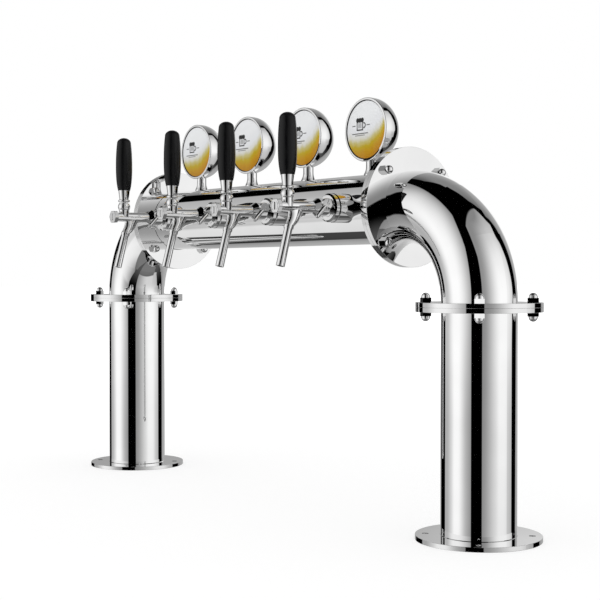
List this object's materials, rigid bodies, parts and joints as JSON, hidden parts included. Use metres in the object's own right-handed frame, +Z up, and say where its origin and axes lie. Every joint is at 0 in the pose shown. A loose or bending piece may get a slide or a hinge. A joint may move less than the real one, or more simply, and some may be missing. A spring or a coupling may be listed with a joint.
{
  "type": "bridge beer tower",
  "caption": "Bridge-shaped draught tower: flanged columns, bends and a crossbar with lever taps, flow controls and round badge medallions.",
  "frame": {"origin": "on the counter, in the middle of the tower's footprint", "axes": "+X along the crossbar, -Y towards the side that pours, +Z up"},
  "size_m": [1.06, 0.2616, 0.6119],
  "materials": {
    "polished_stainless": "mirror-polished stainless steel",
    "chrome_plate": "bright chrome plate on brass",
    "plain_stainless": "turned stainless steel, not polished",
    "black_grip": "moulded black plastic, satin gloss",
    "badge_face": "gloss badge, pale grey above, amber below",
    "white_acetal": "machined white plastic"
  },
  "bodies": {
    "tower": {"left_base_flange": "polished_stainless", "left_column": "polished_stainless", "left_elbow": "polished_stainless", "right_base_flange": "polished_stainless", "right_column": "polished_stainless", "right_elbow": "polished_stainless", "crossbar": "polished_stainless", "flange_studs": "plain_stainless", "flange_dome_nuts": "polished_stainless", "tap_coupling_nuts": "chrome_plate", "medallion_nuts": "plain_stainless", "medallion_1_housing": "chrome_plate", "medallion_1_badge": "badge_face", "tap_1_shank": "plain_stainless", "tap_1_body": "chrome_plate", "tap_1_spout": "chrome_plate", "tap_1_nose_cap": "chrome_plate", "tap_1_bonnet": "chrome_plate", "medallion_2_housing": "chrome_plate", "medallion_2_badge": "badge_face", "tap_2_shank": "plain_stainless", "tap_2_body": "chrome_plate", "tap_2_spout": "chrome_plate", "tap_2_nose_cap": "chrome_plate", "tap_2_bonnet": "chrome_plate", "medallion_3_housing": "chrome_plate", "medallion_3_badge": "badge_face", "tap_3_shank": "plain_stainless", "tap_3_body": "chrome_plate", "tap_3_spout": "chrome_plate", "tap_3_nose_cap": "chrome_plate", "tap_3_bonnet": "chrome_plate", "medallion_4_housing": "chrome_plate", "medallion_4_badge": "badge_face", "tap_4_shank": "plain_stainless", "tap_4_body": "chrome_plate", "tap_4_spout": "chrome_plate", "tap_4_nose_cap": "chrome_plate", "tap_4_bonnet": "chrome_plate"},
    "tap_1_handle": {"tap_1_handle_lever": "chrome_plate", "tap_1_grip": "black_grip"},
    "tap_1_valve": {"tap_1_valve_shaft": "plain_stainless"},
    "tap_1_flow_control": {"tap_1_flow_lever": "chrome_plate"},
    "tap_1_compensator": {"tap_1_compensator_cone": "white_acetal"},
    "tap_2_handle": {"tap_2_handle_lever": "chrome_plate", "tap_2_grip": "black_grip"},
    "tap_2_valve": {"tap_2_valve_shaft": "plain_stainless"},
    "tap_2_flow_control": {"tap_2_flow_lever": "chrome_plate"},
    "tap_2_compensator": {"tap_2_compensator_cone": "white_acetal"},
    "tap_3_handle": {"tap_3_handle_lever": "chrome_plate", "tap_3_grip": "black_grip"},
    "tap_3_valve": {"tap_3_valve_shaft": "plain_stainless"},
    "tap_3_flow_control": {"tap_3_flow_lever": "chrome_plate"},
    "tap_3_compensator": {"tap_3_compensator_cone": "white_acetal"},
    "tap_4_handle": {"tap_4_handle_lever": "chrome_plate", "tap_4_grip": "black_grip"},
    "tap_4_valve": {"tap_4_valve_shaft": "plain_stainless"},
    "tap_4_flow_control": {"tap_4_flow_lever": "chrome_plate"},
    "tap_4_compensator": {"tap_4_compensator_cone": "white_acetal"}
  },
  "joints": [
    {"name": "tap_1_handle_pull", "type": "hinge", "parent": "tower", "child": "tap_1_handle", "pos_m": [-0.225, -0.10825, 0.4664], "axis": [1, 0, 0], "range_deg": [0, 28]},
    {"name": "tap_1_valve_slide", "type": "slide", "parent": "tower", "child": "tap_1_valve", "axis": [0, 1, 0], "range_m": [0, 0.00715]},
    {"name": "tap_1_flow_turn", "type": "hinge", "parent": "tower", "child": "tap_1_flow_control", "pos_m": [-0.225, -0.05025, 0.4539], "axis": [1, 0, 0], "range_deg": [-45, 45]},
    {"name": "tap_1_cone_slide", "type": "slide", "parent": "tower", "child": "tap_1_compensator", "axis": [0, 1, 0], "range_m": [-0.00185, 0.00185]},
    {"name": "tap_2_handle_pull", "type": "hinge", "parent": "tower", "child": "tap_2_handle", "pos_m": [-0.075, -0.10825, 0.4664], "axis": [1, 0, 0], "range_deg": [0, 28]},
    {"name": "tap_2_valve_slide", "type": "slide", "parent": "tower", "child": "tap_2_valve", "axis": [0, 1, 0], "range_m": [0, 0.00715]},
    {"name": "tap_2_flow_turn", "type": "hinge", "parent": "tower", "child": "tap_2_flow_control", "pos_m": [-0.075, -0.05025, 0.4539], "axis": [1, 0, 0], "range_deg": [-45, 45]},
    {"name": "tap_2_cone_slide", "type": "slide", "parent": "tower", "child": "tap_2_compensator", "axis": [0, 1, 0], "range_m": [-0.00185, 0.00185]},
    {"name": "tap_3_handle_pull", "type": "hinge", "parent": "tower", "child": "tap_3_handle", "pos_m": [0.075, -0.10825, 0.4664], "axis": [1, 0, 0], "range_deg": [0, 28]},
    {"name": "tap_3_valve_slide", "type": "slide", "parent": "tower", "child": "tap_3_valve", "axis": [0, 1, 0], "range_m": [0, 0.00715]},
    {"name": "tap_3_flow_turn", "type": "hinge", "parent": "tower", "child": "tap_3_flow_control", "pos_m": [0.075, -0.05025, 0.4539], "axis": [1, 0, 0], "range_deg": [-45, 45]},
    {"name": "tap_3_cone_slide", "type": "slide", "parent": "tower", "child": "tap_3_compensator", "axis": [0, 1, 0], "range_m": [-0.00185, 0.00185]},
    {"name": "tap_4_handle_pull", "type": "hinge", "parent": "tower", "child": "tap_4_handle", "pos_m": [0.225, -0.10825, 0.4664], "axis": [1, 0, 0], "range_deg": [0, 28]},
    {"name": "tap_4_valve_slide", "type": "slide", "parent": "tower", "child": "tap_4_valve", "axis": [0, 1, 0], "range_m": [0, 0.00715]},
    {"name": "tap_4_flow_turn", "type": "hinge", "parent": "tower", "child": "tap_4_flow_control", "pos_m": [0.225, -0.05025, 0.4539], "axis": [1, 0, 0], "range_deg": [-45, 45]},
    {"name": "tap_4_cone_slide", "type": "slide", "parent": "tower", "child": "tap_4_compensator", "axis": [0, 1, 0], "range_m": [-0.00185, 0.00185]}
  ],
  "couplings": [
    {"joint": "tap_1_valve_slide", "follows": "tap_1_handle_pull", "m_per_rad": 0.01455},
    {"joint": "tap_1_cone_slide", "follows": "tap_1_flow_turn", "m_per_rad": 0.002325},
    {"joint": "tap_2_valve_slide", "follows": "tap_2_handle_pull", "m_per_rad": 0.01455},
    {"joint": "tap_2_cone_slide", "follows": "tap_2_flow_turn", "m_per_rad": 0.002325},
    {"joint": "tap_3_valve_slide", "follows": "tap_3_handle_pull", "m_per_rad": 0.01455},
    {"joint": "tap_3_cone_slide", "follows": "tap_3_flow_turn", "m_per_rad": 0.002325},
    {"joint": "tap_4_valve_slide", "follows": "tap_4_handle_pull", "m_per_rad": 0.01455},
    {"joint": "tap_4_cone_slide", "follows": "tap_4_flow_turn", "m_per_rad": 0.002325}
  ]
}
